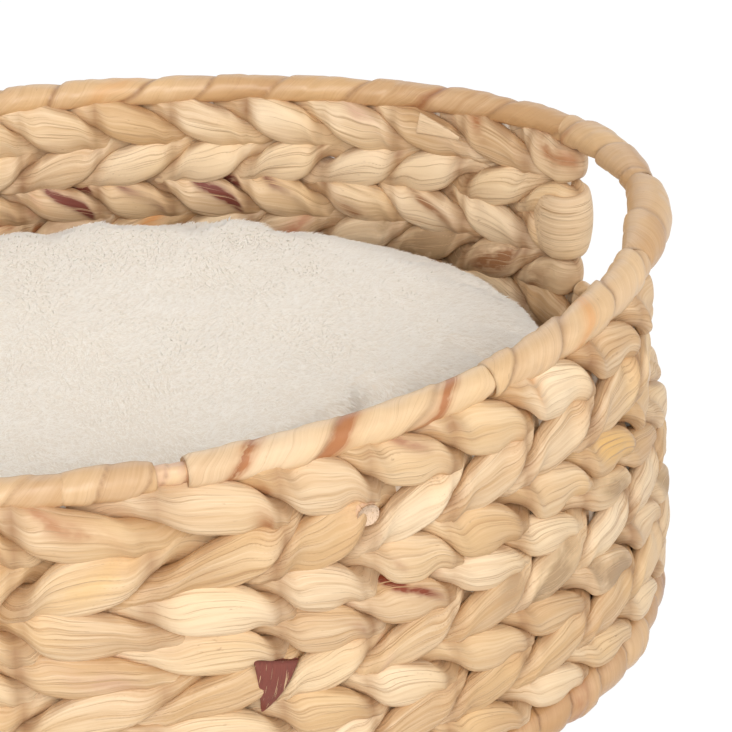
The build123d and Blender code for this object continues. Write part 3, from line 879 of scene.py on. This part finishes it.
print("floor:", len(straps), "straps")

# %% [markdown]
# ## The cushion
# The cushion is a loose pillow with a plush top. It is made as a pillow is: a closed form a
# little smaller than the finished one is blown up by cloth simulation, and the fabric finds its
# own swelling and slack. The start is a stack of ovals, full at the seam and small at the top
# and the bottom. A cap on how far each point may move keeps it in its place.

# %% Pillow before filling
cushion_half = np.array([half_length, half_width]) - 0.0183
cushion_low, cushion_high = 0.0177, 0.1487
seam_height = 0.0727
room = 0.004            # which the filling takes up when it swells
farthest = 0.007        # that the filling may move a point
proud = 0.012           # that the used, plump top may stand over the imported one
profile = np.array([(0, 0.30, 0.30), (0, 0.70, 0.70), (0.06, 0.90, 0.90), (0.20, 0.975, 0.975),
                    (0.42, 0.995, 0.995), (0.66, 0.98, 0.985), (0.82, 0.93, 0.97), (0.92, 0.86, 0.94),
                    (0.98, 0.68, 0.82), (1, 0.25, 0.30)])       # height, length and width, as shares
_, c, s = circle(96)
rings = np.linspace(0, len(profile) - 1, 40)
tall, long, wide = (np.interp(rings, np.arange(len(profile)), column)[:, None] for column in profile.T)
pillow = np.stack([(cushion_half[0] - room) * long * c, (cushion_half[1] - room) * wide * s,
                   cushion_low + room + tall * (cushion_high - cushion_low - 2 * room) + 0 * c], -1)


# %% Plush material
plush, tree, shader = new_material("ivory_plush", {"Roughness": 0.95, "Specular IOR Level": 0.1,
                                                   "Sheen Weight": 0.35, "Sheen Roughness": 0.6})
where = tree.nodes.new("ShaderNodeTexCoord").outputs["Object"]
curls = noise(tree, where, (420, 420, 420), 3.0, 0.6)
clumps = noise(tree, where, (95, 95, 95))
shade_read = tree.nodes.new("ShaderNodeAttribute")
shade_read.attribute_name = "root_shade_and_tone"
# Roots take the darker colour and tips the lighter one: painted shade deep in the pile, where the blades cast
# no shadow.
deep = blend_colours(tree, curls, (0.79, 0.715, 0.62), (0.87, 0.805, 0.715))
light = blend_colours(tree, clumps, (0.925, 0.88, 0.805), (0.975, 0.94, 0.875))
tree.links.new(blend_colours(tree, shade_read.outputs["Fac"], deep, light), shader.inputs["Base Color"])
add_bump(tree, shader, ramp(tree, curls, 0.4, clumps, clamp=False), 0.2, 0.0010)

# %% Fill the pillow
def read_points(thing):
    """The points of an object's mesh, as an n x 3 array."""
    points = np.empty(len(thing.data.vertices) * 3, np.float32)
    thing.data.vertices.foreach_get("co", points)
    return points.reshape(-1, 3)


cushion = build("plush_cushion", [pillow], {}, plush, "cushion",
                ["cushion_cover_top", "cushion_cover_underside", "cushion_filling"])
bpy.context.view_layer.objects.active = cushion
remesh = cushion.modifiers.new("even_faces", "REMESH")
remesh.mode, remesh.voxel_size, remesh.use_smooth_shade = "VOXEL", 0.006, True
bpy.ops.object.modifier_apply(modifier="even_faces")
before = read_points(cushion)
cloth = cushion.modifiers.new("filling", "CLOTH")
cloth.settings.use_pressure = True
cloth.settings.uniform_pressure_force = 4.0
cloth.settings.effector_weights.gravity = 0.0
for step in range(1, 21):
    bpy.context.scene.frame_set(step)
bpy.ops.object.modifier_apply(modifier="filling")
bpy.context.scene.frame_set(1)
move = read_points(cushion) - before
size = np.linalg.norm(move, axis=1, keepdims=True)
after = before + move * np.minimum(1, farthest / np.maximum(size, 1e-9))

# %% Shape the top
# Use has left soft hollows in it, and the filling is pushed up at two places.
x, y = after[:, 0], after[:, 1]
hollows = (0.0013 * ripple(x / 0.07 + 9, y / 0.07 + 9, 40, 40, 5)
           + 0.0006 * ripple(x / 0.03 + 9, y / 0.03 + 9, 60, 60, 6))
plump = 0.0036 + 0.0045 * np.exp(-((x - 0.085) / 0.06) ** 2) + 0.0040 * smooth(x, 0.15, 0.21)
after[:, 2] += (hollows + plump) * smooth(after[:, 2], 0.095, 0.125)
after[:, 2] = np.clip(after[:, 2], cushion_low, cushion_high + proud)
seam = np.exp(-((after[:, 2] - seam_height) / 0.0035) ** 2)[:, None]
after[:, :2] *= 1 - 0.012 * seam
cushion.data.vertices.foreach_set("co", after.astype(np.float32).ravel())
cushion.data.update()
soften = cushion.modifiers.new("soften", "SUBSURF")
soften.levels = soften.render_levels = 1
print("cushion:", len(after), "points, moved at most", round(float(size.max()), 4), "m")

# %% [markdown]
# ## The pile
# Plush is not a smooth skin: short fibres stand on it in small curls that lean together. Hair
# particles would be lost when the model is exported, so the pile is real blades. Roots are spread
# over the top by area, slow noises lean whole clumps the same way, and on the cushion's shoulders
# the blades hang outward. Each has the normal of the skin under it and casts no shadow, or so
# many thin edges would make a pale plush grey. It comes in three pieces, so that none is too big.
# The blades are coloured darker at the root than at the tip, as painted shade deep in the pile.

# %% Roots of the pile
pile_starts = 0.078     # height above which the cover is plush


def roots(surface, count, chance):
    """Points on the top of a mesh, spread by area, with the normals of their faces. A point in a
    triangle is its first corner plus two random shares, folded back where they add up to over 1."""
    mesh = surface.data
    mesh.calc_loop_triangles()
    corner = np.empty(len(mesh.loop_triangles) * 3, np.int32)
    mesh.loop_triangles.foreach_get("vertices", corner)
    a, b, c = (read_points(surface)[corner.reshape(-1, 3)[:, n]] for n in range(3))
    square = np.cross(b - a, c - a)
    area = np.linalg.norm(square, axis=1)
    area *= (a[:, 2] > pile_starts) * (0.25 + 0.75 * smooth(a[:, 2], 0.095, 0.115))
    chosen = chance.choice(len(area), count, p=area / area.sum())
    u, v = chance.random((2, count, 1))
    u, v = np.where(u + v > 1, 1 - u, u), np.where(u + v > 1, 1 - v, v)
    normal = square[chosen] / np.linalg.norm(square[chosen], axis=1, keepdims=True)
    return a[chosen] + u * (b - a)[chosen] + v * (c - a)[chosen], normal


# %% Blades of the pile
def pile(name, surface, count, long, wide, seed, part):
    """Blades on a mesh. Each is a quad from the root to half way and a triangle from there to the
    tip. It leans along the skin, and more steeply where the skin is steep."""
    chance = np.random.default_rng(seed + 100 * part)
    root, normal = roots(surface, count, chance)
    x, y = root[:, 0], root[:, 1]

    def slow(size, order):
        return ripple(x / size + 40, y / size + 40, 90, 90, seed + order)

    angle = -0.6 + (0.6 * slow(0.016, 1) + 0.8 * slow(0.06, 2) + chance.normal(0, 0.6, count))
    lean = np.stack([np.cos(angle), np.sin(angle), 0 * angle], -1) + 3 * normal * [1, 1, 0]
    lean -= normal * np.einsum("ij,ij->i", lean, normal)[:, None]
    lean /= np.maximum(np.linalg.norm(lean, axis=1, keepdims=True), 0.5)
    grow = long * chance.uniform(0.7, 1.25, (count, 1)) * (1 + 0.25 * slow(0.02, 3))[:, None]
    side = np.cross(normal, lean) * (wide / 2 * chance.uniform(0.7, 1.3, (count, 1)))
    steep = 1 - normal[:, 2:]
    middle = root + grow * ((0.22 + 0.10 * steep) * normal + 0.42 * lean)
    tip = root + grow * ((0.26 + 0.55 * steep) * normal + (0.94 - 0.3 * steep) * lean)
    root = root - normal * 0.0008
    points = np.stack([root - side, root + side, middle + side * 0.8, middle - side * 0.8, tip], 1)
    first = 5 * np.arange(count)[:, None]
    corners = np.concatenate([([0, 3, 2, 1] + first).ravel(), ([2, 3, 4] + first).ravel()])
    blades = new_mesh(name, points.reshape(-1, 3), corners, np.repeat([4, 3], count))
    blades.normals_split_custom_set_from_vertices(np.repeat(normal, 5, axis=0))
    # From root to tip the colour goes from the darker to the lighter one, painted shade deep in the pile, with
    # a random part for tone.
    shares = 0.5 * np.array([0, 0, 0.6, 0.6, 1]) + 0.5 * chance.random((count, 1))
    store(blades, "root_shade_and_tone", shares.reshape(-1, 1))
    piece = linked(name, blades)
    blades.materials.append(plush)
    piece.visible_shadow = False
    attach(piece, "cushion")
    return piece


count, wide = ((57000, 0.0006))
for part, letter in enumerate("abc"):
    piece = pile("plush_pile_" + letter, cushion, count, 0.0042, wide, 31, part)
    print(piece.name, len(piece.data.polygons), "faces")

# %% [markdown]
# ## Camera, light and floor
# Beds like this are looked at from above, from a little to one side. A long lens keeps the far
# rim nearly as large as the near one. The light is a big soft lamp above and in front, with
# weaker ones at the right and at the back and a narrow one into the far side of the basket, so
# that every bulge has a bright top and a soft shadow under it.

# %% Camera
camera = linked("camera", bpy.data.cameras.new("camera"))
camera.location = (-0.2295, -1.2630, 0.8933)
camera.rotation_euler = (radians(59.618), 0, radians(-16.341))
camera.data.lens, camera.data.sensor_width = 166.57, 36
bpy.context.scene.camera = camera


# %% Lamps and world
def lamp(name, place, aim, power, size, spread=180):
    """Square area lamp at place that shines toward aim, within a spread in degrees."""
    light = bpy.data.lights.new(name, "AREA")
    light.energy, light.size, light.spread = power, size, radians(spread)
    thing = linked(name, light)
    thing.location = place
    thing.rotation_euler = (Vector(aim) - Vector(place)).to_track_quat("-Z", "Y").to_euler()


def seen_straight(tree):
    """1 for rays from the camera and for those that gloss or glass sends on, and 0 for all others."""
    seen = tree.nodes.new("ShaderNodeLightPath").outputs
    return number(tree, "MAXIMUM", seen["Is Camera Ray"],
                  number(tree, "MAXIMUM", seen["Is Glossy Ray"], seen["Is Transmission Ray"]))


lamp("fill_inside", (-0.10, -0.90, 1.10), (0.05, 0.19, 0.17), 0.05, 0.3, 25)
lamp("key", (-0.70, -1.88, 1.28), (0, 0, 0.1), 32, 1.4)
lamp("fill_right", (1.5, -1.1, 1.0), (0, 0, 0.1), 9, 1.6)
lamp("fill_back", (0.4, 1.6, 1.4), (0, 0, 0.15), 5, 1.4)
world = bpy.data.worlds.new("world")
bpy.context.scene.world = world
world.use_nodes = True
tree = world.node_tree
background = tree.nodes["Background"]
tree.links.new(ramp(tree, seen_straight(tree), 0.48, 0.52, clamp=False), background.inputs["Strength"])
background.inputs["Color"].default_value = (1, 1, 1, 1)

# %% Floor
floor_paint, tree, shader = new_material("pale_floor", {"Base Color": (0.8, 0.8, 0.8, 1), "Roughness": 0.9})
glow = tree.nodes.new("ShaderNodeEmission")
glow.inputs["Strength"].default_value = 1.06
mix = tree.nodes.new("ShaderNodeMixShader")
tree.links.new(times(tree, seen_straight(tree), 0.92), mix.inputs[0])
tree.links.new(shader.outputs[0], mix.inputs[1])
tree.links.new(glow.outputs[0], mix.inputs[2])
tree.links.new(mix.outputs[0], tree.nodes["Material Output"].inputs["Surface"])
corners = 6 * np.array([[-1, -1, 0], [1, -1, 0], [1, 1, 0], [-1, 1, 0]], float)
plane = bpy.data.meshes.new("floor")
plane.from_pydata(corners.tolist(), [], [(0, 1, 2, 3)])
floor = linked("floor", plane)
plane.materials.append(floor_paint)
bpy.context.scene.view_settings.view_transform = "Standard"
